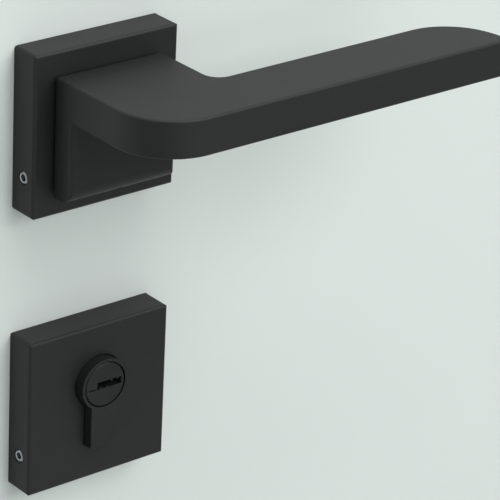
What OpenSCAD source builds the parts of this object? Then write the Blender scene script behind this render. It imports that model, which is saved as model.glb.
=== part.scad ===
// Door lever handle on a square rose, with the matching square key escutcheon and its cylinder.
// One side of a door set. X runs along the lever, Y runs into the door and Z is up.
// The door's face is the plane Y = 0, and the lever turns about the Y axis.

/* [Covers] */
// Width and height of each square cover
cover_w = 52; // [51:0.5:54]
// Depth of each cover, from the door to its front
cover_t = 10.5; // [10.5:0.5:12]
// Distance from the lever axis down to the centre of the lower cover
cover_pitch = 93; // [90:1:110]
// Thickness of a cover's front
cover_front = 1.8; // [1.6:0.1:1.9]
// Thickness of a cover's side walls
cover_wall = 2.2; // [2.1:0.1:2.4]
// Rounding of the edges round a cover's front
cover_edge_r = 0.9; // [0.5:0.1:1.6]
// Rounding of a cover's upright corners
cover_corner_r = 1.2; // [0.6:0.1:1.4]

/* [Lever] */
// Width of the block and neck of the lever
block_w = 38.5; // [36:0.5:40]
// Distance from the lever axis down to the lower edge of the block
block_below = 19.5; // [18.5:0.5:20]
// Height of the lever's top face above its axis
lever_top = 18.5; // [18:0.5:20]
// Gap between the rose cover and the block
block_gap = 1.3; // [1.2:0.1:1.5]
// Distance from the door to the front of the block, under the blade
block_front = 20; // [19.6:0.1:22]
// Rounding of the block's lower front edge
foot_r = 4.7; // [3:0.1:5]
// Rounding of the block's upright front edges
block_edge_r = 1.6; // [1:0.1:2]
// Distance from the door to the front of the blade
blade_front = 59.5; // [57:0.5:65]
// Depth of the blade, from its front to its rear face
blade_d = 22.5; // [22.5:0.5:24]
// Height of the blade
blade_h = 12; // [9:0.5:12]
// Distance from the lever axis to the tip of the blade
tip_x = 116; // [105:1:130]
// Outer radius of the bend between neck and blade
outer_bend_r = 19.5; // [18:0.5:24]
// Inner radius of the bend between neck and blade
inner_bend_r = 5; // [4:0.5:10]
// Radius that rounds the rear of the tip
tip_r = 20; // [15:0.5:21]
// Rounding of the rim of neck and blade
blade_edge_r = 0.8; // [0.4:0.1:1]

/* [Spindle and return spring] */
// Side of the square spindle
spindle_w = 8; // [7.6:0.1:8]
// Thickness of the door that the spindle and the bolts are cut for
door_t = 40; // [36:1:50]
// Angle that the lever turns down, in degrees
lever_travel = 45; // [35:1:50]
// Thickness of the return spring's wire
spring_wire = 1.2; // [1:0.1:1.2]

/* [Cylinder] */
// Distance from the centre of the lower cover up to the axis of the plug
plug_rise = 7; // [5:0.5:8]
// Distance that the cylinder stands out of its cover
nose = 3.5; // [3:0.5:5]
// Radius of the round part of the cylinder's profile
profile_r = 8.5; // [8.4:0.1:8.6]
// Height of the cylinder's profile
profile_h = 29.5; // [29:0.5:33]
// Width of the profile's stem
stem_w = 9.8; // [9.6:0.1:10]
// Distance from the door's face to the middle of the cam
cam_depth = 20; // [19:0.5:25]
// Reach of the cam from the plug's axis
cam_reach = 13; // [12:0.5:13]
// Number of pins
pin_count = 5; // [4:1:5]

/* [Hidden] */
$fn = 64;

// Colours
black_coat = "#2c2d2d";
black_metal = "#262727";
bare_steel = "#b4b6b8";
dark_zinc = "#8a8d90";
white_nylon = "#dedcd2";
brass_yellow = "#c2a25a";

// Drilling depth beyond a surface, so that cuts break through cleanly
through = 1;
// Running clearance of a turning fit, and the looser gap round parts that only pass
running = 0.05;
slack = 0.2;

// Covers and the plates behind them
inner_corner_r = 0.8;
base_w = cover_w - 2 * cover_wall - 2 * slack;
base_t = cover_t - cover_front - slack;
grub_r = 2;
grub_l = 4;
grub_depth = 5.2;
grub_drop = 14;
socket_side = 2;
screw_pitch = 37;
screw_r = 1.9;
screw_head_r = 3.4;

// Through bolts of both plates
bolt_pitch = 38;
bolt_shank_r = 1.75;
bolt_thread_r = 2;
bolt_head_r = 3.9;
bolt_head_t = 2;
bolt_hole_r = 2.15;
lug_r = 3.8;
lug_l = 6;
bolt_end = door_t + 6;

// Neck, bush and what is stacked behind them
neck_r = 9;
flat_x = 6.5;
web_t = 2;
bush_r = 10.2;
flange_r = 12.8;
collar_hole_r = 13.1;
chamber_r = 13.6;
back_plate_t = 1;
back_plate_r = 14.8;
disc_t = 2;
disc_r = 13.2;
disc_y = -back_plate_t - 0.1 - disc_t;
stop_in_r = 10.6;
stop_half_angle = 8;
stop_play = 1.5;
washer_y = 0.1;
washer_t = 0.7;
clip_y = washer_y + washer_t + 0.1;
clip_t = 0.8;
groove_r = 8;
clip_out_r = 10.8;
neck_end = clip_y + clip_t + 0.9;

// Return spring
spring_r = 11.4;
spring_turns = 1.5;
leg_in = 1.5;
leg_hole_r = 0.8;
spring_front = -base_t + web_t + 0.1;
spring_back = disc_y - 0.1;
spring_start = 150;

// Lever
block_back = cover_t + block_gap;
blade_rear = blade_front - blade_d;
blade_bottom = lever_top - blade_h;
spindle_in = block_front - 2.4;
spindle_out = door_t + block_front - 2.4;
lever_screw_r = 2.5;
lever_screw_y = -(block_back + block_front) / 2;
lever_screw_l = 12;
lever_screw_socket = 2.5;
tip_corner_r = 1.2;
bend_centre = [outer_bend_r - block_w / 2, outer_bend_r - blade_front];
inner_centre = [block_w / 2 + inner_bend_r, inner_bend_r - blade_rear];
tip_centre = [tip_x - tip_r, -blade_rear - tip_r];
tip_corner_centre = [tip_x - tip_corner_r, tip_corner_r - blade_front];

// Cylinder, measured from the axis of its plug
plug_drop = cover_pitch - plug_rise;
nose_y = -cover_t - nose;
stem_h = profile_h - profile_r;
cam_w = 10;
slot_front = cam_depth - cam_w / 2;
slot_back = cam_depth + cam_w / 2;
body_end = slot_back + 5;
plug_r = 6.8;
plug_face_r = 7.3;
plug_face_t = 1.2;
face_ring = 0.35;
tail_r = 5;
tail_flat = 4;
tail_end = body_end - 1.2;
plug_clip_y = slot_front + 0.15;
plug_clip_t = 0.8;
plug_groove_r = 6;
plug_end = plug_clip_y + plug_clip_t + 0.5;
key_depth = slot_front - 1;
pin_r = 1.4;
pin_gap = 0.05;
pin_first = -9;
pin_step = 4.4;
shear = 6.55;
key_floor = 1.4;
driver_l = 4.5;
chamber_plug_l = 2;
cylinder_screw_r = 2.1;
cylinder_screw_drop = 17.2;

// Stands children on the plane at depth y: drawn x stays x, drawn y points down, drawn z into the door.
module into_door(y, drop = 0) {
    translate([0, y, -drop])
        rotate([-90, 0, 0])
            children();
}

// What a rounding of radius r takes off a corner, drawn from the centre of the rounding
module corner_bit(r) {
    difference() {
        square(r + through);
        circle(r = r);
    }
}

module rounded_square(w, r) {
    difference() {
        square(w, center = true);
        for (turn = [0:3])
            rotate(90 * turn)
                translate([w / 2 - r, w / 2 - r])
                    corner_bit(r);
    }
}

// A square plate with rounded corners, flat on the drawing plane
module plate(w, r, t) {
    linear_extrude(t)
        rounded_square(w, r);
}

// A plate whose edges on the drawing plane are rounded too
module soft_plate(w, r, edge_r, t) {
    intersection_for (turn = [0, 1])
        intersection() {
            plate(w, r, t);
            rotate([0, 0, 90 * turn])
                rotate([90, 0, 0])
                    linear_extrude(w + 2, center = true)
                        side_view(w, edge_r, t);
        }
}

// Rectangle with its two lower corners rounded
module side_view(w, r, t) {
    difference() {
        translate([-w / 2, 0])
            square([w, t]);
        for (side = [0, 1])
            mirror([side, 0])
                translate([w / 2 - r, r])
                    mirror([0, 1])
                        corner_bit(r);
    }
}

module ring(outer_r, inner_r, t) {
    difference() {
        cylinder(r = outer_r, h = t);
        translate([0, 0, -through])
            cylinder(r = inner_r, h = t + 2 * through);
    }
}

// A slice between two angles, as wide as the radius r at least
module slice(from_angle, to_angle, r, t) {
    middle = (from_angle + to_angle) / 2;
    linear_extrude(t)
        polygon([
            [0, 0],
            for (a = [from_angle, middle, to_angle]) 1.5 * r * [cos(a), sin(a)]
        ]);
}

// A ring with a gap in it, as a retaining clip has
module clip(outer_r, inner_r, t, gap_angle) {
    difference() {
        ring(outer_r, inner_r, t);
        translate([0, 0, -through])
            slice(-90 - gap_angle / 2, -90 + gap_angle / 2, outer_r, t + 2 * through);
    }
}

// A round bar with two flats
module flatted_bar(r, flat, h) {
    intersection() {
        cylinder(r = r, h = h);
        translate([-flat, -r - 1, 0])
            cube([2 * flat, 2 * r + 2, h]);
    }
}

// Children at both ends of a line along the drawn y axis
module above_and_below(pitch) {
    for (side = [-1, 1])
        translate([0, side * pitch / 2, 0])
            children();
}

// Children at both ends of a line along the drawn x axis
module left_and_right(pitch) {
    for (side = [-1, 1])
        translate([side * pitch / 2, 0, 0])
            children();
}

module at_corners(pitch) {
    for (x = [-1, 1], y = [-1, 1])
        translate([x, y, 0] * pitch / 2)
            children();
}

// A grub screw whose socket opens at the origin and whose cone points along +Z
module grub_screw(r, l, socket) {
    cone = r * 0.4;
    difference() {
        union() {
            cylinder(r1 = r - 0.3, r2 = r, h = 0.3);
            translate([0, 0, 0.3])
                cylinder(r = r, h = l - cone - 0.3);
            translate([0, 0, l - cone])
                cylinder(r1 = r, r2 = r - cone, h = cone);
        }
        translate([0, 0, -through])
            cylinder(r = socket / sqrt(3), h = socket + through, $fn = 6);
    }
}

// A countersunk bolt with its head at the origin, reaching into the door
module countersunk_bolt(shank_l, total_l) {
    difference() {
        union() {
            cylinder(r1 = bolt_head_r, r2 = bolt_shank_r, h = bolt_head_t);
            cylinder(r = bolt_shank_r, h = shank_l);
            translate([0, 0, shank_l])
                cylinder(r = bolt_thread_r, h = total_l - shank_l);
        }
        translate([0, 0, -through])
            cylinder(r = socket_side / sqrt(3), h = 1.4 + through, $fn = 6);
    }
}

// ---------- lever ----------

// Outline of the neck and the blade, seen from above
module lever_outline() {
    half = block_w / 2;
    difference() {
        union() {
            translate([-half, -blade_front])
                square([block_w, blade_front - block_back]);
            translate([-half, -blade_front])
                square([half + tip_x, blade_d]);
            translate([half, -blade_rear])
                inner_bend();
        }
        translate(bend_centre)
            rotate(180)
                corner_bit(outer_bend_r);
        translate(tip_centre)
            corner_bit(tip_r);
        translate(tip_corner_centre)
            rotate(-90)
                corner_bit(tip_corner_r);
    }
}

// Fillet in the corner between neck and blade
module inner_bend() {
    difference() {
        translate([-1, -1])
            square(inner_bend_r + 1);
        translate([inner_bend_r, inner_bend_r])
            circle(r = inner_bend_r);
    }
}

// What the rounding takes off the rim of the outline; the outline's top is the plane z = 0
module rim_cut() {
    half = block_w / 2;
    behind = through - block_back;
    straight_cut([-half, bend_centre.y], -90, behind - bend_centre.y);
    bend_cut(bend_centre, outer_bend_r, 180);
    straight_cut([tip_corner_centre.x, -blade_front], 0, tip_corner_centre.x - bend_centre.x);
    bend_cut(tip_corner_centre, tip_corner_r, 270);
    straight_cut([tip_x, tip_centre.y], 90, tip_centre.y - tip_corner_centre.y);
    bend_cut(tip_centre, tip_r, 0);
    straight_cut([inner_centre.x, -blade_rear], 180, tip_centre.x - inner_centre.x);
    inner_bend_cut(inner_centre, inner_bend_r, 180);
    straight_cut([half, behind], 90, behind - inner_centre.y);
}

// Along a straight edge that runs in the direction a and ends at the point end
module straight_cut(end, a, l) {
    translate([end.x, end.y, 0])
        rotate([0, 0, a])
            rotate([90, 0, -90])
                linear_extrude(l)
                    translate([-blade_edge_r, -blade_edge_r])
                        corner_bit(blade_edge_r);
}

// Round a quarter bend with its solid on the inside
module bend_cut(centre, r, a) {
    translate([centre.x, centre.y, -blade_edge_r])
        rotate([0, 0, a])
            rotate_extrude(angle = 90)
                translate([r - blade_edge_r, 0])
                    corner_bit(blade_edge_r);
}

// Round a quarter bend with its solid on the outside
module inner_bend_cut(centre, r, a) {
    translate([centre.x, centre.y, -blade_edge_r])
        rotate([0, 0, a])
            rotate_extrude(angle = 90)
                translate([r + blade_edge_r, 0])
                    mirror([1, 0])
                        corner_bit(blade_edge_r);
}

// Neck and blade, one flat layer with a rounded rim
module lever_blade() {
    translate([0, 0, blade_bottom])
        difference() {
            linear_extrude(blade_h)
                lever_outline();
            translate([0, 0, blade_h])
                rim_cut();
            mirror([0, 0, 1])
                rim_cut();
        }
}

// Block under the neck: rounded along its lower front edge and its two upright front edges
module lever_block() {
    depth = block_front - block_back;
    height = block_below + blade_bottom + blade_edge_r + 0.3;
    translate([0, 0, -block_below])
        difference() {
            translate([-block_w / 2, -block_front, 0])
                cube([block_w, depth, height]);
            translate([-block_w, -block_front, 0])
                foot_cut();
            for (side = [0, 1])
                mirror([side, 0, 0])
                    translate([block_w / 2, -block_front, -through])
                        upright_cut(height + 2 * through);
        }
}

// What the rounding takes off the lower front edge
module foot_cut() {
    difference() {
        translate([0, -through, -through])
            cube([2 * block_w, foot_r + through, foot_r + through]);
        translate([-through, foot_r, foot_r])
            rotate([0, 90, 0])
                cylinder(r = foot_r, h = 2 * block_w + 2 * through);
    }
}

// What the rounding takes off the right-hand upright front edge
module upright_cut(h) {
    difference() {
        translate([-block_edge_r, -through, 0])
            cube([block_edge_r + through, block_edge_r + through, h]);
        translate([-block_edge_r, block_edge_r, -through])
            cylinder(r = block_edge_r, h = h + 2 * through);
    }
}

module lever_neck() {
    into_door(-block_back - 0.5)
        cylinder(r = neck_r, h = block_back + 0.5 + disc_y - 0.1);
    difference() {
        into_door(disc_y - 1)
            flatted_bar(neck_r, flat_x, neck_end - disc_y + 1);
        into_door(clip_y)
            ring(neck_r + 1, groove_r, clip_t);
    }
}

module lever() {
    color(black_coat)
        difference() {
            union() {
                lever_blade();
                lever_block();
                lever_neck();
            }
            translate([-spindle_w / 2 - running, -spindle_in - 0.1, -spindle_w / 2 - running])
                cube([spindle_w + 2 * running, spindle_in + neck_end + through, spindle_w + 2 * running]);
            translate([0, lever_screw_y, -block_below - through])
                cylinder(r = lever_screw_r + running, h = block_below + through);
        }
}

module lever_grub_screw() {
    color(bare_steel)
        translate([0, lever_screw_y, -spindle_w / 2 - 0.02 - lever_screw_l])
            grub_screw(lever_screw_r, lever_screw_l, lever_screw_socket);
}

module spindle() {
    color(bare_steel)
        translate([-spindle_w / 2, -spindle_in, -spindle_w / 2])
            cube([spindle_w, spindle_in + spindle_out, spindle_w]);
}

// Turns with the neck; its notch rides over the stop of the base and its hole takes the spring's leg
module drive_disc() {
    color(dark_zinc)
        into_door(disc_y)
            difference() {
                cylinder(r = disc_r, h = disc_t);
                translate([0, 0, -through])
                    flatted_bar(neck_r + running, flat_x + running, disc_t + 2 * through);
                translate([0, 0, -through])
                    difference() {
                        slice(
                            90 - stop_half_angle - stop_play - lever_travel,
                            90 + stop_half_angle + stop_play,
                            disc_r + through,
                            disc_t + 2 * through
                        );
                        cylinder(r = stop_in_r - 0.3, h = disc_t + 2 * through);
                    }
                spring_leg_hole(spring_start + 360 * spring_turns, disc_t);
            }
}

module spring_leg_hole(angle, depth) {
    rotate([0, 0, angle])
        translate([spring_r, 0, -through])
            cylinder(r = leg_hole_r, h = depth + 2 * through);
}

module thrust_washer() {
    color(bare_steel)
        into_door(washer_y)
            ring(clip_out_r, neck_r + 0.1, washer_t);
}

module neck_clip() {
    color(bare_steel)
        into_door(clip_y + 0.05)
            clip(clip_out_r, groove_r + running, clip_t - 0.1, 40);
}

// ---------- rose ----------

// Square shell with its front at the origin, threaded for a grub screw in its left side
module cover_shell() {
    inside_w = cover_w - 2 * cover_wall;
    difference() {
        soft_plate(cover_w, cover_corner_r, cover_edge_r, cover_t);
        translate([0, 0, cover_front])
            plate(inside_w, inner_corner_r, cover_t);
        translate([-cover_w / 2, grub_drop, cover_t - grub_depth])
            rotate([0, 90, 0]) {
                translate([0, 0, -through])
                    cylinder(r = grub_r + running, h = cover_wall + 2 * through);
                translate([0, 0, -0.01])
                    cylinder(r1 = grub_r + 0.45, r2 = grub_r + running, h = 0.4);
            }
    }
}

module cover_grub_screw() {
    translate([-cover_w / 2 + 0.1, grub_drop, cover_t - grub_depth])
        rotate([0, 90, 0])
            grub_screw(grub_r, grub_l, socket_side);
}

// Plate behind a cover, with the seat that the grub screw bites into and the unused screw holes
module base_blank() {
    difference() {
        plate(base_w, inner_corner_r, base_t);
        translate([-base_w / 2 - through, grub_drop, base_t - grub_depth])
            rotate([0, 90, 0])
                cylinder(r = grub_r + slack, h = grub_l - cover_wall + through + 0.4);
        at_corners(screw_pitch) {
            translate([0, 0, -through])
                cylinder(r = screw_r, h = base_t + 2 * through);
            translate([0, 0, -0.01])
                cylinder(r1 = screw_head_r, r2 = screw_r, h = screw_head_r - screw_r);
        }
    }
}

module bolt_lug() {
    translate([0, 0, base_t - 1])
        cylinder(r = lug_r, h = lug_l + 1);
}

module bolt_hole() {
    translate([0, 0, -through])
        cylinder(r = bolt_hole_r, h = base_t + lug_l + 2 * through);
    translate([0, 0, -0.01])
        cylinder(r1 = bolt_head_r + slack, r2 = bolt_hole_r, h = bolt_head_t);
}

module plate_bolt() {
    shank_l = base_t + lug_l + 2;
    translate([0, 0, 0.1])
        countersunk_bolt(shank_l, base_t + bolt_end);
}

module rose_cover() {
    color(black_coat)
        into_door(-cover_t)
            difference() {
                cover_shell();
                translate([0, 0, -through])
                    cylinder(r = collar_hole_r, h = cover_front + 2 * through);
            }
}

module rose_grub_screw() {
    color(bare_steel)
        into_door(-cover_t)
            cover_grub_screw();
}

module rose_base() {
    color(dark_zinc)
        into_door(-base_t)
            difference() {
                union() {
                    difference() {
                        base_blank();
                        translate([0, 0, web_t])
                            cylinder(r = chamber_r, h = base_t);
                    }
                    lever_stop();
                    above_and_below(bolt_pitch)
                        bolt_lug();
                }
                translate([0, 0, -through])
                    cylinder(r = bush_r + 0.02, h = web_t + 2 * through);
                translate([0, 0, base_t - back_plate_t])
                    cylinder(r = back_plate_r + 0.1, h = back_plate_t + through);
                above_and_below(bolt_pitch)
                    bolt_hole();
                spring_leg_hole(spring_start, web_t);
            }
}

// Block at the bottom of the spring chamber that limits the drive disc's travel
module lever_stop() {
    intersection() {
        translate([0, 0, base_t - back_plate_t - disc_t - 0.1])
            ring(chamber_r + 0.5, stop_in_r, disc_t);
        slice(90 - stop_half_angle, 90 + stop_half_angle, chamber_r + 1, base_t);
    }
}

module neck_bush() {
    color(white_nylon)
        into_door(-base_t)
            difference() {
                union() {
                    translate([0, 0, -0.5])
                        cylinder(r = bush_r, h = web_t + 0.45);
                    translate([0, 0, -1.3])
                        cylinder(r = flange_r, h = 1.25);
                }
                translate([0, 0, -2 * through])
                    cylinder(r = neck_r + running, h = web_t + 4 * through);
            }
}

module slide_ring() {
    front = block_back - 0.1;
    back = base_t + 1.4;
    color(white_nylon)
        into_door(-front)
            ring(flange_r - 0.4, neck_r + slack, front - back);
}

module back_plate() {
    color(bare_steel)
        into_door(-back_plate_t + 0.02)
            ring(back_plate_r, neck_r + 0.3, back_plate_t - 0.04);
}

// Path of the return spring: a leg into the base, the coil, and a leg into the drive disc
function spring_path() =
    let (
        steps = 36,
        rise = spring_back - spring_front - spring_wire,
        bottom = spring_front + spring_wire / 2
    )
    concat(
        [on_coil(spring_start, bottom - leg_in)],
        [
            for (i = [0:steps])
                on_coil(spring_start + 360 * spring_turns * i / steps, bottom + rise * i / steps)
        ],
        [on_coil(spring_start + 360 * spring_turns, bottom + rise + leg_in)]
    );

function on_coil(angle, height) = [spring_r * cos(angle), spring_r * sin(angle), height];

module return_spring() {
    color(bare_steel)
        into_door(0)
            bent_wire(spring_path(), spring_wire / 2, 8);
}

module rose_bolts() {
    color(bare_steel)
        into_door(-base_t)
            above_and_below(bolt_pitch)
                plate_bolt();
}

// ---------- wire ----------

function unit(v) = v / norm(v);

// One ring of points round a wire that winds about the z axis, mitred at a bend
function wire_ring(path, i, r, sides) =
    let (
        last = len(path) - 1,
        before = unit(path[max(i, 1)] - path[max(i, 1) - 1]),
        after = unit(path[min(i, last - 1) + 1] - path[min(i, last - 1)]),
        along = unit(before + after),
        outward = unit([path[i].x, path[i].y, 0]),
        sideways = unit(cross(along, outward)),
        stretch = 1 / sqrt((1 + before * after) / 2)
    )
    [
        for (k = [0:sides - 1])
            let (a = 360 * k / sides)
                path[i] + r * (cos(a) * outward + stretch * sin(a) * sideways)
    ];

module bent_wire(path, r, sides) {
    rings = len(path);
    points = [for (i = [0:rings - 1]) each wire_ring(path, i, r, sides)];
    walls = [
        for (i = [0:rings - 2], k = [0:sides - 1])
            let (
                a = i * sides + k,
                b = i * sides + (k + 1) % sides
            )
            each [[a, a + sides, b + sides], [a, b + sides, b]]
    ];
    first_cap = [for (k = [0:sides - 1]) k];
    last_cap = [for (k = [sides - 1:-1:0]) (rings - 1) * sides + k];
    polyhedron(points, concat([first_cap], walls, [last_cap]));
}

// ---------- escutcheon ----------

// Outline of the cylinder, grown by the clearance c
module profile(c, h) {
    cylinder(r = profile_r + c, h = h);
    translate([-stem_w / 2 - c, 0, 0])
        cube([stem_w + 2 * c, stem_h + c, h]);
}

module escutcheon_cover() {
    color(black_coat)
        into_door(-cover_t, cover_pitch)
            difference() {
                cover_shell();
                translate([0, -plug_rise, -through])
                    profile(0.25, cover_front + 2 * through);
            }
}

module escutcheon_grub_screw() {
    color(bare_steel)
        into_door(-cover_t, cover_pitch)
            cover_grub_screw();
}

module escutcheon_base() {
    color(dark_zinc)
        into_door(-base_t, cover_pitch)
            difference() {
                union() {
                    base_blank();
                    left_and_right(bolt_pitch)
                        bolt_lug();
                }
                translate([0, -plug_rise, -through])
                    profile(0.6, base_t + 2 * through);
                left_and_right(bolt_pitch)
                    bolt_hole();
            }
}

module escutcheon_bolts() {
    color(bare_steel)
        into_door(-base_t, cover_pitch)
            left_and_right(bolt_pitch)
                plate_bolt();
}

// ---------- cylinder ----------

// Children at each pin, standing on the plug's axis and pointing down
module at_pins() {
    for (i = [0:pin_count - 1])
        translate([0, pin_first + pin_step * i, -plug_drop])
            rotate([180, 0, 0])
                children();
}

module cylinder_body() {
    color(black_metal)
        difference() {
            into_door(nose_y, plug_drop)
                profile(0, body_end - nose_y);
            into_door(nose_y, plug_drop) {
                translate([0, 0, -through])
                    cylinder(r = plug_r + running, h = slot_front - nose_y + 2 * through);
                translate([0, 0, -through])
                    cylinder(r = plug_face_r + face_ring, h = plug_face_t + 0.1 + through);
                cylinder(r = tail_r + running, h = tail_end + 0.2 - nose_y);
            }
            // gap that the cam turns in
            translate([-profile_r - 1, slot_front, -plug_drop - cam_reach - 0.4])
                cube([2 * profile_r + 2, cam_w, cam_reach + 0.4 + profile_r + 1]);
            at_pins()
                cylinder(r = pin_r + pin_gap, h = stem_h + through);
            // thread for the screw that holds the cylinder from the door's edge
            translate([-stem_w, cam_depth, -plug_drop - cylinder_screw_drop])
                rotate([0, 90, 0])
                    cylinder(r = cylinder_screw_r, h = 2 * stem_w);
        }
}

module driver_pins() {
    color(brass_yellow)
        at_pins()
            translate([0, 0, plug_r + 0.15])
                cylinder(r = pin_r, h = driver_l);
}

module pin_springs() {
    start = plug_r + 0.15 + driver_l + 0.05;
    end = stem_h - chamber_plug_l - 0.15;
    wire_r = 0.2;
    turns = 5;
    steps = 10 * turns;
    path = [
        for (i = [0:steps])
            let (a = 360 * turns * i / steps)
                [cos(a), sin(a), start + wire_r + (end - start - 2 * wire_r) * i / steps]
    ];
    color(bare_steel)
        at_pins()
            bent_wire(path, wire_r, 6);
}

module chamber_plugs() {
    color(brass_yellow)
        at_pins()
            translate([0, 0, stem_h - chamber_plug_l - 0.1])
                cylinder(r = pin_r, h = chamber_plug_l);
}

// Flat keyway with two ribs in its floor, two in its roof and a thin side slot
module keyway(h) {
    left = -3;
    right = 6.1;
    roof = -1.3;
    floor_y = 1.2;
    rib_h = 0.7;
    rib_half = 0.6;
    linear_extrude(h)
        difference() {
            union() {
                translate([left, roof])
                    square([right - left, floor_y - roof]);
                translate([-right, floor_y - 0.5])
                    square([right + left + 0.1, 0.45]);
            }
            for (x = [-1.7, 0.7])
                translate([x, floor_y])
                    polygon([[-rib_half, 0.1], [0, -rib_h], [rib_half, 0.1]]);
            for (x = [2.4, 4.7])
                translate([x, roof])
                    polygon([[-rib_half, -0.1], [0, rib_h], [rib_half, -0.1]]);
        }
}

module key_plug() {
    color(black_metal)
        difference() {
            into_door(nose_y, plug_drop)
                difference() {
                    union() {
                        cylinder(r1 = plug_face_r - 0.35, r2 = plug_face_r, h = 0.35);
                        translate([0, 0, 0.35])
                            cylinder(r = plug_face_r, h = plug_face_t - 0.35);
                        cylinder(r = plug_r, h = plug_end - nose_y);
                        cylinder(r = tail_r, h = tail_end - nose_y);
                    }
                    translate([0, 0, -through])
                        keyway(key_depth - nose_y + through);
                    translate([0, 0, plug_clip_y - nose_y])
                        ring(plug_r + 1, plug_groove_r, plug_clip_t);
                    // flats that drive the cam
                    for (side = [0, 1])
                        mirror([side, 0, 0])
                            translate([tail_flat, -tail_r - 1, plug_end - nose_y])
                                cube([tail_r, 2 * tail_r + 2, slot_back - 0.1 - plug_end]);
                }
            at_pins()
                cylinder(r = pin_r + pin_gap, h = plug_r + 1);
        }
}

module key_pins() {
    tip = 0.6;
    color(brass_yellow)
        at_pins() {
            translate([0, 0, key_floor])
                cylinder(r1 = pin_r - tip, r2 = pin_r, h = tip);
            translate([0, 0, key_floor + tip])
                cylinder(r = pin_r, h = shear - key_floor - tip);
        }
}

module plug_clip() {
    color(bare_steel)
        into_door(plug_clip_y + 0.05, plug_drop)
            clip(profile_r - 0.4, plug_groove_r + running, plug_clip_t - 0.1, 60);
}

module cylinder_cam() {
    front = plug_end + 0.1;
    width = slot_back - 0.2 - front;
    hub_r = 7.9;
    lobe_w = 8;
    color(dark_zinc)
        into_door(front, plug_drop)
            difference() {
                union() {
                    cylinder(r = hub_r, h = width);
                    intersection() {
                        translate([-lobe_w / 2, 0, 0])
                            cube([lobe_w, cam_reach, width]);
                        cylinder(r = cam_reach, h = width);
                    }
                }
                translate([0, 0, -through])
                    flatted_bar(tail_r + running, tail_flat + running, width + 2 * through);
            }
}

lever();
lever_grub_screw();
spindle();
drive_disc();
thrust_washer();
neck_clip();
rose_cover();
rose_grub_screw();
rose_base();
neck_bush();
slide_ring();
return_spring();
back_plate();
rose_bolts();
escutcheon_cover();
escutcheon_grub_screw();
escutcheon_base();
escutcheon_bolts();
cylinder_body();
driver_pins();
pin_springs();
chamber_plugs();
key_plug();
key_pins();
plug_clip();
cylinder_cam();
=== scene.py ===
import math

import bmesh
import bpy
from mathutils import Matrix, Vector


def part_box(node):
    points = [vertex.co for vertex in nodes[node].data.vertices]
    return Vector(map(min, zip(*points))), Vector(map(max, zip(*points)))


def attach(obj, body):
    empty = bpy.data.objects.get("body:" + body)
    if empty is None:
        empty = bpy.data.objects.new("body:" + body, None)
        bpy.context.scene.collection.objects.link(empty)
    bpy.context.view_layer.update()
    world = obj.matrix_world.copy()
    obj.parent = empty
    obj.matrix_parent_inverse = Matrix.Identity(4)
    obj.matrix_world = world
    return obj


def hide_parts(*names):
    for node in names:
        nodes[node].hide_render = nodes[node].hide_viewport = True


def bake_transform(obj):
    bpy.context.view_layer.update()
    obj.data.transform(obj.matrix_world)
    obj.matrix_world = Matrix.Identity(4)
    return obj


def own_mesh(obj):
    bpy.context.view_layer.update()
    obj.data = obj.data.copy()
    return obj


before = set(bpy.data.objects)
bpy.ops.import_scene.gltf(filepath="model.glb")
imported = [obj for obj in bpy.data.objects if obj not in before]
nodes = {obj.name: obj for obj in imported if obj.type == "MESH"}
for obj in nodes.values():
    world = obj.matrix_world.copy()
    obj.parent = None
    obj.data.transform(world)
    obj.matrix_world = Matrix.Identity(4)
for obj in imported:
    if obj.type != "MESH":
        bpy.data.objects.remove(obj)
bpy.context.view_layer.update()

MM = 0.001


# ---------- materials ----------

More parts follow.
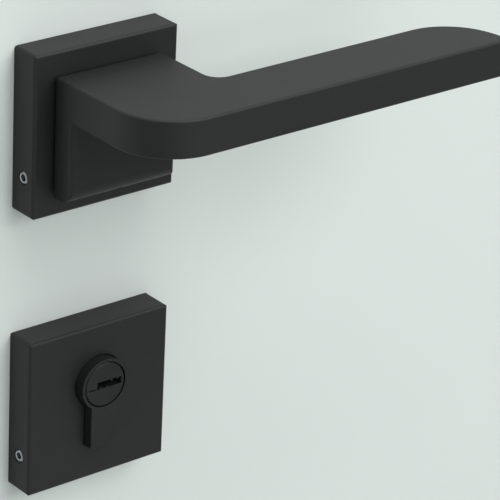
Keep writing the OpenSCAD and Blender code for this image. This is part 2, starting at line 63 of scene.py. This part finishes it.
class Shader:
    """A Principled material with short helpers for its procedural detail."""

    def __init__(self, name, base, rough, metallic=0.0, **constants):
        self.mat = bpy.data.materials.new(name)
        self.mat.use_nodes = True
        self.tree = self.mat.node_tree
        self.bsdf = self.tree.nodes["Principled BSDF"]
        self.place = self.add("ShaderNodeTexCoord").outputs["Object"]
        self.set("Base Color", (*base, 1))
        self.set("Roughness", rough)
        self.set("Metallic", metallic)
        for key, value in constants.items():
            self.set(key.replace("_", " "), value)

    def add(self, kind, **values):
        node = self.tree.nodes.new(kind)
        for key, value in values.items():
            setattr(node, key, value)
        return node

    def link(self, a, b):
        self.tree.links.new(a, b)

    def set(self, socket, value):
        self.bsdf.inputs[socket].default_value = value

    def stretched(self, scale):
        """The object's coordinates, scaled along each axis."""
        mapping = self.add("ShaderNodeMapping")
        mapping.inputs["Scale"].default_value = scale
        self.link(self.place, mapping.inputs["Vector"])
        return mapping.outputs["Vector"]

    def noise(self, scale, detail=3, rough=0.55, place=None, distortion=0):
        node = self.add("ShaderNodeTexNoise")
        node.inputs["Scale"].default_value = scale
        node.inputs["Detail"].default_value = detail
        node.inputs["Roughness"].default_value = rough
        node.inputs["Distortion"].default_value = distortion
        self.link(place or self.place, node.inputs["Vector"])
        return node.outputs["Fac"]

    def remap(self, value, low, high, from_low=0.3, from_high=0.7):
        node = self.add("ShaderNodeMapRange")
        numbers = {"From Min": from_low, "From Max": from_high, "To Min": low, "To Max": high}
        for key, number in numbers.items():
            node.inputs[key].default_value = number
        self.link(value, node.inputs["Value"])
        return node.outputs["Result"]

    def math(self, operation, a, b):
        node = self.add("ShaderNodeMath", operation=operation)
        for i, value in enumerate((a, b)):
            if isinstance(value, (int, float)):
                node.inputs[i].default_value = value
            else:
                self.link(value, node.inputs[i])
        return node.outputs[0]

    def mix(self, factor, a, b):
        node = self.add("ShaderNodeMix", data_type="RGBA")
        self.link(factor, node.inputs[0])
        for socket, value in ((node.inputs[6], a), (node.inputs[7], b)):
            if isinstance(value, tuple):
                socket.default_value = (*value, 1)
            else:
                self.link(value, socket)
        return node.outputs[2]

    def colour(self, value):
        self.link(value, self.bsdf.inputs["Base Color"])

    def roughness(self, value):
        self.link(value, self.bsdf.inputs["Roughness"])

    def bump(self, *layers, soft=None):
        """Each layer is (height, depth in metres, strength), on top of edges rounded by the radius soft."""
        normal = self.soft_edges(soft) if soft else None
        for height, depth, strength in layers:
            node = self.add("ShaderNodeBump")
            node.inputs["Distance"].default_value = depth
            node.inputs["Strength"].default_value = strength
            self.link(height, node.inputs["Height"])
            if normal is not None:
                self.link(normal, node.inputs["Normal"])
            normal = node.outputs["Normal"]
        self.link(normal, self.bsdf.inputs["Normal"])

    def worn_edges(self, radius):
        """0 on flat ground, rising to 1 where an edge turns away within the radius."""
        soft = self.soft_edges(radius)
        ground = self.add("ShaderNodeNewGeometry").outputs["Normal"]
        turn = self.add("ShaderNodeVectorMath", operation="DOT_PRODUCT")
        self.link(soft, turn.inputs[0])
        self.link(ground, turn.inputs[1])
        return self.remap(turn.outputs["Value"], 1.0, 0.0, 0.75, 0.98)

    def soft_edges(self, radius):
        node = self.add("ShaderNodeBevel", samples=6)
        node.inputs["Radius"].default_value = radius
        return node.outputs["Normal"]

    def recesses(self, distance, low, high):
        """Mask for painted shade: 0 in the open, rising to 1 deep in holes and corners."""
        node = self.add("ShaderNodeAmbientOcclusion", samples=8)
        node.inputs["Distance"].default_value = distance
        return self.remap(node.outputs["AO"], 1.0, 0.0, low, high)


def black_coat():
    """Satin powder coat: faint clouds, a fine speckle and slightly polished edges."""
    s = Shader("black_powder_coat", (0.013, 0.0133, 0.0133), 0.52, Specular_IOR_Level=0.34)
    cloud = s.noise(28, 4)
    speck = s.noise(1900, 2, 0.6)
    tone = s.mix(s.remap(cloud, 0, 1), (0.0115, 0.0119, 0.0118), (0.0155, 0.0160, 0.0158))
    tone = s.mix(s.remap(speck, 0, 0.35, 0.45, 0.8), tone, (0.026, 0.027, 0.027))
    s.colour(s.mix(s.worn_edges(0.2 * MM), tone, (0.020, 0.021, 0.021)))
    s.roughness(s.math("ADD", s.remap(cloud, 0.48, 0.54), s.remap(speck, -0.02, 0.03)))
    s.bump((s.noise(900, 2, 0.5), 0.02 * MM, 0.35), (speck, 0.008 * MM, 0.3), soft=0.3 * MM)
    return s.mat


def black_plating():
    """Black plating on turned brass that shows a little at its sharp edges."""
    s = Shader("black_plated_brass", (0.013, 0.013, 0.0135), 0.5, Specular_IOR_Level=0.3)
    cloud = s.noise(90, 4)
    lathe = s.noise(60, 2, place=s.stretched((1, 60, 1)))
    tone = s.mix(s.remap(cloud, 0, 1), (0.0115, 0.0115, 0.012), (0.017, 0.017, 0.0175))
    s.colour(s.mix(s.worn_edges(0.15 * MM), tone, (0.045, 0.042, 0.036)))
    s.roughness(s.math("ADD", s.remap(cloud, 0.46, 0.53), s.remap(lathe, -0.03, 0.04)))
    s.bump((s.noise(1400, 2), 0.01 * MM, 0.3), (lathe, 0.006 * MM, 0.3), soft=0.2 * MM)
    return s.mat


def metal(name, tint, rough, metallic=1.0, cloud=160, grain=500, along=(1, 1, 1), depth=0.012, soft=0.1):
    """Bare or plated metal: clouded tone and gloss, a fine grain, and painted shade darkening its recesses.
    """
    s = Shader(name, tint, rough, metallic)
    patches = s.noise(cloud, 4, distortion=0.3)
    lines = s.noise(grain, 3, 0.6, place=s.stretched(along))
    tone = s.mix(s.remap(patches, 0, 1), tuple(0.74 * c for c in tint), tint)
    # Painted shade: in holes and corners that the ambient occlusion finds, the colour falls to a third of
    # the tint.
    recess_shade = tuple(0.35 * c for c in tint)
    s.colour(s.mix(s.recesses(1.6 * MM, 0.35, 0.95), tone, recess_shade))
    s.roughness(s.math("ADD", s.remap(patches, rough - 0.06, rough + 0.06), s.remap(lines, -0.05, 0.07)))
    s.bump((lines, depth * MM, 0.4), soft=soft * MM)
    return s.mat


def nylon():
    s = Shader("natural_nylon", (0.70, 0.68, 0.61), 0.46, Subsurface_Weight=0.12, Subsurface_Scale=0.002)
    cloud = s.noise(70, 3)
    s.colour(s.mix(s.remap(cloud, 0, 1), (0.64, 0.62, 0.55), (0.75, 0.73, 0.66)))
    s.roughness(s.remap(cloud, 0.40, 0.52))
    s.bump((s.noise(800, 3), 0.02 * MM, 0.3), soft=0.12 * MM)
    return s.mat


COAT = black_coat()
PLATING = black_plating()
CAST = metal("die_cast_zinc", (0.36, 0.37, 0.38), 0.48, 0.85, cloud=55, grain=1300, depth=0.03, soft=0.2)
ZINC = metal("zinc_plated_steel", (0.60, 0.62, 0.65), 0.30)
DRAWN = metal("drawn_steel_bar", (0.52, 0.53, 0.55), 0.32, along=(1, 0.04, 1), soft=0.35)
SPRING = metal("spring_steel", (0.38, 0.38, 0.39), 0.34, cloud=240, grain=900)
BRASS = metal("turned_brass", (0.70, 0.50, 0.20), 0.28, cloud=200, grain=120, along=(1, 1, 30))
NYLON = nylon()

LOOKS = {
    COAT: ["lever", "rose_cover", "escutcheon_cover"],
    PLATING: ["cylinder_body", "key_plug"],
    CAST: ["rose_base", "escutcheon_base", "drive_disc", "cylinder_cam"],
    ZINC: ["lever_grub_screw", "rose_grub_screw", "escutcheon_grub_screw", "rose_bolts", "escutcheon_bolts",
           "back_plate", "thrust_washer"],
    DRAWN: ["spindle"],
    SPRING: ["neck_clip", "plug_clip", "return_spring", "pin_springs"],
    NYLON: ["neck_bush", "slide_ring"],
    BRASS: ["driver_pins", "key_pins", "chamber_plugs"],
}

for material, names in LOOKS.items():
    for name in names:
        for slot in nodes[name].material_slots:
            slot.material = material


# ---------- screws with their threads and sockets ----------

SIDES = 36


def ring(radius, along):
    """A circle of points round the local Z axis."""
    turns = (2 * math.pi * k / SIDES for k in range(SIDES))
    return [Vector((radius * math.cos(a), radius * math.sin(a), along)) for a in turns]


def hexagon(corner, along):
    """The same number of points on a hexagon whose corners lie at that radius."""
    flat = corner * math.cos(math.pi / 6)
    return [p * flat / (corner * math.cos(math.radians(360 / SIDES * k % 60 - 30))) + Vector((0, 0, along))
            for k, p in enumerate(ring(corner, 0))]


def thread(start, end, crest):
    """Rings of a helical thread that runs out at both ends."""
    pitch, rings_per_turn = 0.7 * MM, 4
    depth = 0.54 * pitch
    count = round(rings_per_turn * (end - start) / pitch)
    rings = []
    for i in range(count + 1):
        z = start + (end - start) * i / count
        fade = min(1, (z - start) / pitch, (end - z) / pitch)
        points = ring(1, 0)
        for k, p in enumerate(points):
            phase = (z / pitch - k / SIDES) % 1
            r = crest - depth * fade * (1 - abs(2 * phase - 1))
            points[k] = Vector((p.x * r, p.y * r, z))
        rings.append(points)
    return rings


def socket(corner, depth):
    """A hexagon socket, from its floor to its chamfered mouth at z = 0."""
    return [hexagon(0.5 * corner, depth + 0.2 * MM), hexagon(corner, depth),
            hexagon(corner, 0.12 * MM), ring(1.12 * corner, 0)]


def grub(r, length, corner):
    """Rings of a grub screw, from its socket to its blunt cone."""
    return (socket(corner, 1.6 * MM) + [ring(r - 0.45 * MM, 0), ring(r - 0.03 * MM, 0.4 * MM)]
            + thread(0.42 * MM, length - 0.4 * r, r)
            + [ring(0.55 * r, length - 0.02 * r), ring(0.4 * r, length)])


def bolt(head_r, length):
    """Rings of a countersunk M4 bolt, from its socket to the end of its thread."""
    head_end, shank_end = 2 * MM, 16.5 * MM
    shank_r, thread_r = 1.75 * MM, 2 * MM
    return (socket(1.15 * MM, 1.3 * MM)
            + [ring(head_r - 0.2 * MM, 0), ring(head_r, 0.12 * MM)]
            + [ring(shank_r, head_end), ring(shank_r, shank_end)]
            + thread(shank_end, length - 0.4 * MM, thread_r) + [ring(0.8 * thread_r, length)])


def skin(name, material, tubes):
    """A mesh of closed tubes, each a list of rings of points."""
    bm = bmesh.new()
    for rings in tubes:
        loops = [[bm.verts.new(p) for p in points] for points in rings]
        for a, b in zip(loops, loops[1:]):
            for k in range(len(a)):
                bm.faces.new((a[k - 1], a[k], b[k], b[k - 1]))
        for end in (loops[0], loops[-1]):
            bm.faces.new(end)
    bmesh.ops.recalc_face_normals(bm, faces=bm.faces)
    for face in bm.faces:
        face.smooth = True
    mesh = bpy.data.meshes.new(name)
    bm.to_mesh(mesh)
    bm.free()
    mesh.set_sharp_from_angle(angle=math.radians(38))
    mesh.materials.append(material)
    o = bpy.data.objects.new(name, mesh)
    bpy.context.scene.collection.objects.link(o)
    return o


def screws(node, body, rings, starts, direction):
    """A piece that replaces the node: a screw of these rings at each start, pointing in the direction."""
    turn = Vector(direction).to_track_quat("Z", "Y").to_matrix()
    tubes = [[[turn @ p + Vector(start) for p in points] for points in rings] for start in starts]
    o = skin(node + "_threaded", ZINC, tubes)
    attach(o, body)
    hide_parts(node)


for node in ("rose_grub_screw", "escutcheon_grub_screw"):
    low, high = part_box(node)
    mid = (low + high) / 2
    screws(node, "door_side", grub((high.y - low.y) / 2, high.x - low.x, 1.25 * MM),
           [(low.x, mid.y, mid.z)], (1, 0, 0))

low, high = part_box("lever_grub_screw")
mid = (low + high) / 2
screws("lever_grub_screw", "lever", grub((high.x - low.x) / 2, high.z - low.z, 1.44 * MM),
       [(mid.x, mid.y, low.z)], (0, 0, 1))

low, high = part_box("rose_bolts")
head = (high.x - low.x) / 2
screws("rose_bolts", "door_side", bolt(head, high.y - low.y),
       [((low.x + high.x) / 2, low.y, z) for z in (low.z + head, high.z - head)], (0, 1, 0))

low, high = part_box("escutcheon_bolts")
head = (high.z - low.z) / 2
screws("escutcheon_bolts", "door_side", bolt(head, high.y - low.y),
       [(x, low.y, (low.z + high.z) / 2) for x in (low.x + head, high.x - head)], (0, 1, 0))


# ---------- springs of smooth round wire ----------

def wire(path, centre, axis, r, sides):
    """Rings round a wire that follows the path and winds about the axis through the centre."""
    rings = []
    for i, p in enumerate(path):
        along = (path[min(i + 1, len(path) - 1)] - path[max(i - 1, 0)]).normalized()
        outward = p - centre
        outward = (outward - outward.dot(axis) * axis).normalized()
        sideways = along.cross(outward).normalized()
        turns = (2 * math.pi * k / sides for k in range(sides))
        rings.append([p + r * (math.cos(a) * outward + math.sin(a) * sideways) for a in turns])
    return rings


def rounded_corner(leg_end, corner, coil_point, reach):
    """Points of a leg that bends into a coil, from its end to where the bend is over."""
    a = corner + (leg_end - corner).normalized() * reach
    b = corner + (coil_point - corner).normalized() * reach
    bend = [a.lerp(corner, t / 8).lerp(corner.lerp(b, t / 8), t / 8) for t in range(9)]
    return [leg_end, leg_end.lerp(a, 0.5)] + bend


def return_spring():
    """The coil with a leg in the base and a leg in the drive disc."""
    low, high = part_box("return_spring")
    wire_r, radius, leg = 0.6 * MM, 11.4 * MM, 1.5 * MM
    first_angle, turns, steps = 150, 1.5, 96
    front, back = low.y + leg, high.y - leg

    def on_coil(share, y):
        a = math.radians(first_angle + 360 * turns * share)
        return Vector((radius * math.cos(a), y, -radius * math.sin(a)))

    coil = [on_coil(i / steps, front + (back - front) * i / steps) for i in range(1, steps)]
    start, end = on_coil(0, front), on_coil(1, back)
    path = rounded_corner(on_coil(0, low.y), start, coil[0], 0.5 * MM) + coil
    path += reversed(rounded_corner(on_coil(1, high.y), end, coil[-1], 0.5 * MM))
    o = skin("return_spring_wire", SPRING, [wire(path, Vector((0, 0, 0)), Vector((0, 1, 0)), wire_r, 14)])
    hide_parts("return_spring")
    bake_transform(o)


def pin_springs():
    """One closed-end spring under each driver."""
    low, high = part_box("pin_springs")
    wire_r, radius, turns, steps = 0.2 * MM, 1.0 * MM, 7, 20
    apart, press = 4.4 * MM, 1.5 * MM
    first, last = low.y + radius + wire_r, high.y - radius - wire_r
    count = round((last - first) / apart) + 1
    closed = 2.1 * wire_r
    length = high.z - low.z
    open_pitch = (length - 2 * wire_r - 2 * closed) / (turns - 2)
    tubes = []
    for n in range(count):
        centre = Vector(((low.x + high.x) / 2, first + n * (last - first) / (count - 1), 0))
        path = []
        for i in range(turns * steps + 1):
            u = i / steps
            rise = closed * (min(u, 1) + max(u - turns + 1, 0)) + open_pitch * min(max(u - 1, 0), turns - 2)
            a = 2 * math.pi * u
            path.append(centre + Vector((radius * math.cos(a), radius * math.sin(a), low.z + wire_r + rise)))
        tubes.append(wire(path, centre, Vector((0, 0, 1)), wire_r, 8))
    o = skin("pin_spring_wires", SPRING, tubes)
    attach(o, "door_side")
    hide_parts("pin_springs")
    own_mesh(o)


return_spring()
pin_springs()


# ---------- stage ----------

def one_sided(name, colour, rough):
    """A pale paint that shows only from its front, so that it never hides the object from behind."""
    s = Shader(name, colour, rough, Specular_IOR_Level=0.3)
    fade = s.noise(1.3, 3)
    s.colour(s.mix(s.remap(fade, 0, 1), tuple(0.985 * c for c in colour), colour))
    out = s.tree.nodes["Material Output"]
    clear = s.add("ShaderNodeBsdfTransparent")
    pick = s.add("ShaderNodeMixShader")
    s.link(s.add("ShaderNodeNewGeometry").outputs["Backfacing"], pick.inputs[0])
    s.link(s.bsdf.outputs[0], pick.inputs[1])
    s.link(clear.outputs[0], pick.inputs[2])
    s.link(pick.outputs[0], out.inputs["Surface"])
    return s.mat


def sheet(name, corners, material, faces=((0, 1, 2, 3),)):
    mesh = bpy.data.meshes.new(name)
    mesh.from_pydata(corners, [], faces)
    mesh.materials.append(material)
    o = bpy.data.objects.new(name, mesh)
    bpy.context.scene.collection.objects.link(o)


def area(name, place, size, power):
    """A rectangular light aimed at the object."""
    light = bpy.data.lights.new(name, "AREA")
    light.shape = "RECTANGLE"
    light.size, light.size_y = size
    light.energy = power
    o = bpy.data.objects.new(name, light)
    o.location = place
    o.rotation_mode = "QUATERNION"
    o.rotation_quaternion = (Vector(AIM) - Vector(place)).to_track_quat("-Z", "Y")
    bpy.context.scene.collection.objects.link(o)


door_paint = one_sided("door_paint", (0.745, 0.79, 0.765), 0.6)
floor_paint = one_sided("floor_paint", (0.50, 0.51, 0.50), 0.7)

# The door is open behind both covers, so that light reaches the object's rear in a view from behind
rose_low, rose_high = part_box("rose_cover")
lower_low, lower_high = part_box("escutcheon_cover")
inset = 0.1 * MM
columns = (-4, rose_low.x + inset, rose_high.x - inset, 4)
rows = (-1.05, lower_low.z + inset, lower_high.z - inset, rose_low.z + inset, rose_high.z - inset, 3)
corners = [(x, 0, z) for z in rows for x in columns]
cells = [(4 * r + c, 4 * r + c + 1, 4 * r + c + 5, 4 * r + c + 4) for r in range(5) for c in range(3)
         if (r, c) not in ((1, 1), (3, 1))]
sheet("door_backdrop", corners, door_paint, cells)
sheet("floor", [(-4, -6, -1.05), (4, -6, -1.05), (4, 6, -1.05), (-4, 6, -1.05)], floor_paint)

world = bpy.data.worlds.new("studio")
world.use_nodes = True
world.node_tree.nodes["Background"].inputs["Color"].default_value = (0.90, 0.95, 0.95, 1)
world.node_tree.nodes["Background"].inputs["Strength"].default_value = 0.48
bpy.context.scene.world = world

AIM = (0, 0, -0.03)
area("key", (0.75, -1.7, 1.35), (1.6, 1.6), 26.5)
area("top", (0, -0.45, 1.9), (1.6, 0.7), 17)
area("front", (0, -2.2, 0.2), (1.6, 1.6), 7.6)


# ---------- camera ----------

def photo_camera(azimuth, elevation, roll, lens, across, up_by, away):
    """A camera at those angles round the object, shifted across and up in its own view."""
    az, el, turn = (math.radians(a) for a in (azimuth, elevation, roll))
    back = Vector((math.sin(az) * math.cos(el), -math.cos(az) * math.cos(el), math.sin(el)))
    right = (-back).cross(Vector((0, 0, 1))).normalized()
    up = right.cross(-back)
    right, up = right * math.cos(turn) + up * math.sin(turn), up * math.cos(turn) - right * math.sin(turn)
    data = bpy.data.cameras.new("camera")
    data.lens = lens
    data.sensor_width = 36
    data.clip_start, data.clip_end = 0.05, 50
    cam = bpy.data.objects.new("camera", data)
    place = back * away - right * across - up * up_by
    cam.matrix_world = Matrix((
        (right.x, up.x, back.x, place.x),
        (right.y, up.y, back.y, place.y),
        (right.z, up.z, back.z, place.z),
        (0, 0, 0, 1)))
    bpy.context.scene.collection.objects.link(cam)
    bpy.context.scene.camera = cam


photo_camera(-39.951, 24.712, 2.835, 223.765, -49.299 * MM, 41.665 * MM, 0.927679)
bpy.context.scene.view_settings.view_transform = "Standard"
